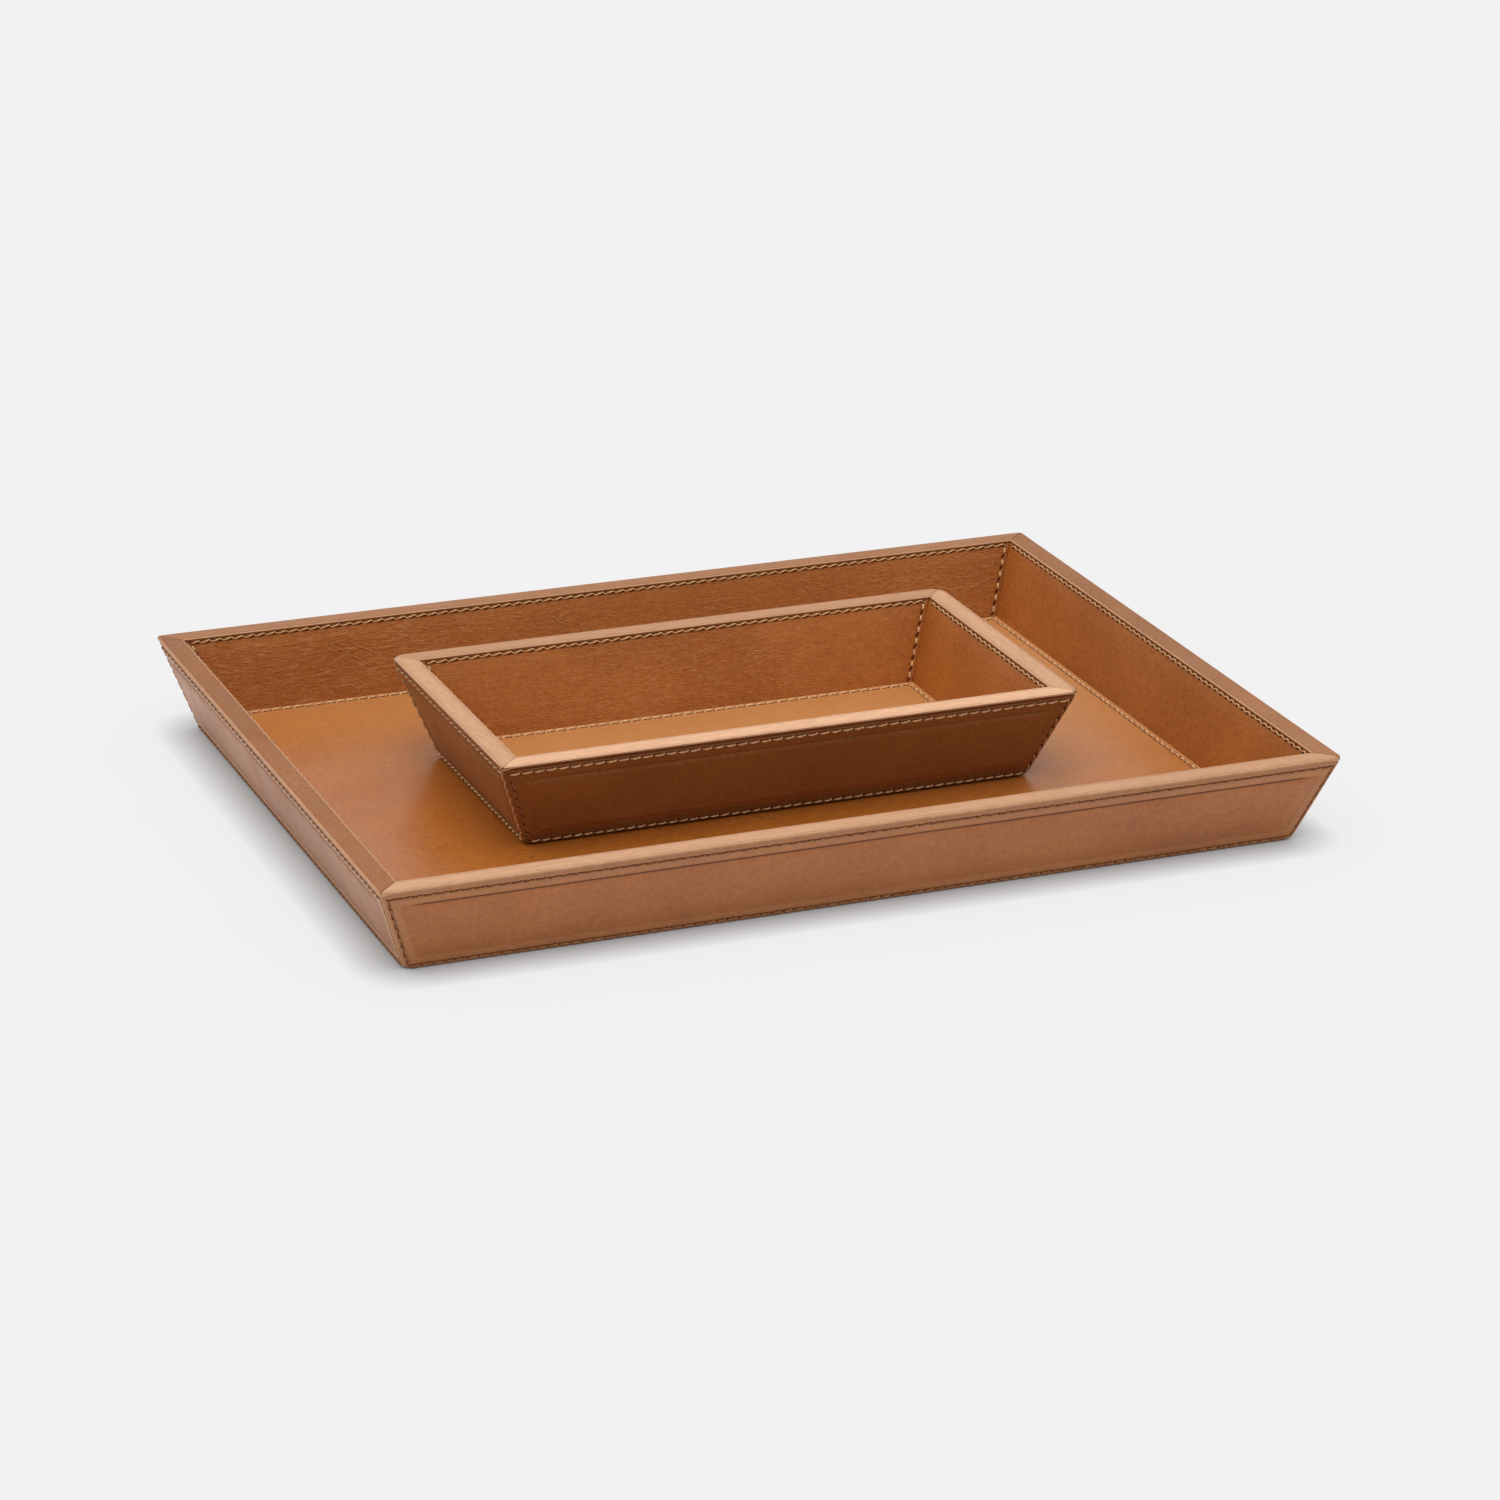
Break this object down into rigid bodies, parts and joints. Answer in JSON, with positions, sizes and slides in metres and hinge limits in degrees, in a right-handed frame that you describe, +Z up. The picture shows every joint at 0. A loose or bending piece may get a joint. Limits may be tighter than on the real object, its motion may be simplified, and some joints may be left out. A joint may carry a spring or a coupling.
{
  "type": "leather desk tray set",
  "caption": "Low rectangular desk tray with flared, stitched leather walls over board and a mitred flat rim, holding a smaller loose tray of the same make that lifts straight out.",
  "frame": {"origin": "middle of the large tray's underside, on the surface that it stands on", "axes": "+X along the trays' length to the right, +Y to the back wall, +Z up"},
  "size_m": [0.4314, 0.3244, 0.0511],
  "materials": {
    "panel_leather": "smooth tan full-grain leather, satin",
    "lining_leather": "tan full-grain leather with fine wrinkles, satin",
    "rim_leather": "pale tan leather strip with burnished edges, satin",
    "floor_leather": "tan leather, polished",
    "underside_leather": "suede side of tan leather, matt",
    "board": "fibreboard, bare",
    "thread": "waxed linen thread, light tan"
  },
  "bodies": {
    "large_tray": {"large_underside_leather": "underside_leather", "large_base_board": "board", "large_floor_leather": "floor_leather", "large_floor_thread": "thread", "large_front_board": "board", "large_front_outer_panel": "panel_leather", "large_front_lining": "lining_leather", "large_front_rim_strip": "rim_leather", "large_front_panel_thread": "thread", "large_front_lining_thread": "thread", "large_right_board": "board", "large_right_outer_panel": "panel_leather", "large_right_lining": "lining_leather", "large_right_rim_strip": "rim_leather", "large_right_panel_thread": "thread", "large_right_lining_thread": "thread", "large_back_board": "board", "large_back_outer_panel": "panel_leather", "large_back_lining": "lining_leather", "large_back_rim_strip": "rim_leather", "large_back_panel_thread": "thread", "large_back_lining_thread": "thread", "large_left_board": "board", "large_left_outer_panel": "panel_leather", "large_left_lining": "lining_leather", "large_left_rim_strip": "rim_leather", "large_left_panel_thread": "thread", "large_left_lining_thread": "thread"},
    "small_tray": {"small_underside_leather": "underside_leather", "small_base_board": "board", "small_floor_leather": "floor_leather", "small_floor_thread": "thread", "small_front_board": "board", "small_front_outer_panel": "panel_leather", "small_front_lining": "lining_leather", "small_front_rim_strip": "rim_leather", "small_front_panel_thread": "thread", "small_front_lining_thread": "thread", "small_right_board": "board", "small_right_outer_panel": "panel_leather", "small_right_lining": "lining_leather", "small_right_rim_strip": "rim_leather", "small_right_panel_thread": "thread", "small_right_lining_thread": "thread", "small_back_board": "board", "small_back_outer_panel": "panel_leather", "small_back_lining": "lining_leather", "small_back_rim_strip": "rim_leather", "small_back_panel_thread": "thread", "small_back_lining_thread": "thread", "small_left_board": "board", "small_left_outer_panel": "panel_leather", "small_left_lining": "lining_leather", "small_left_rim_strip": "rim_leather", "small_left_panel_thread": "thread", "small_left_lining_thread": "thread"}
  },
  "joints": [
    {"name": "small_tray_lift", "type": "slide", "parent": "large_tray", "child": "small_tray", "axis": [0, 0, 1], "range_m": [0, 0.06]}
  ]
}
